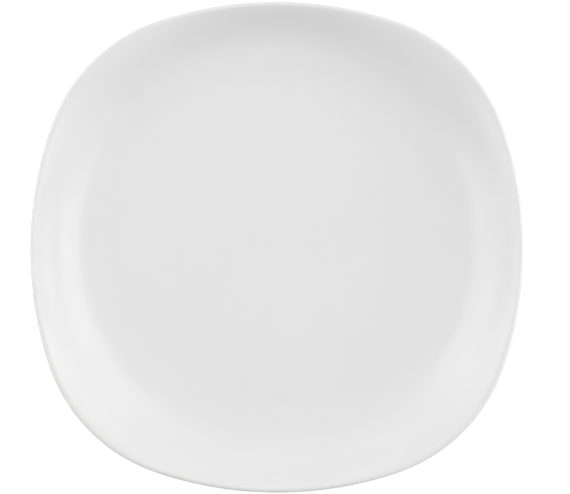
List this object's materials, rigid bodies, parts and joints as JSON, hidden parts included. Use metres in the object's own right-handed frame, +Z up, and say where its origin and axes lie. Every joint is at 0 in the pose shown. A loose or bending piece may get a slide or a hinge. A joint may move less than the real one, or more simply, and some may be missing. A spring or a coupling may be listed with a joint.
{
  "type": "dessert plate",
  "caption": "Shallow soft-square white porcelain plate with a round well, a flared rim and a bare foot ring, for serving dessert.",
  "frame": {"origin": "on the table under the middle of the plate, at the bottom centre of its box", "axes": "+Z up out of the eating face, +X and +Y out through the middles of two sides"},
  "size_m": [0.2, 0.2, 0.0195],
  "materials": {
    "porcelain": "fired porcelain left bare on the foot ring, matt and very slightly rough",
    "glaze": "clear gloss glaze over white porcelain"
  },
  "bodies": {
    "root": {"porcelain_body": "porcelain", "outer_glaze": "glaze", "base_glaze": "glaze"}
  },
  "joints": []
}
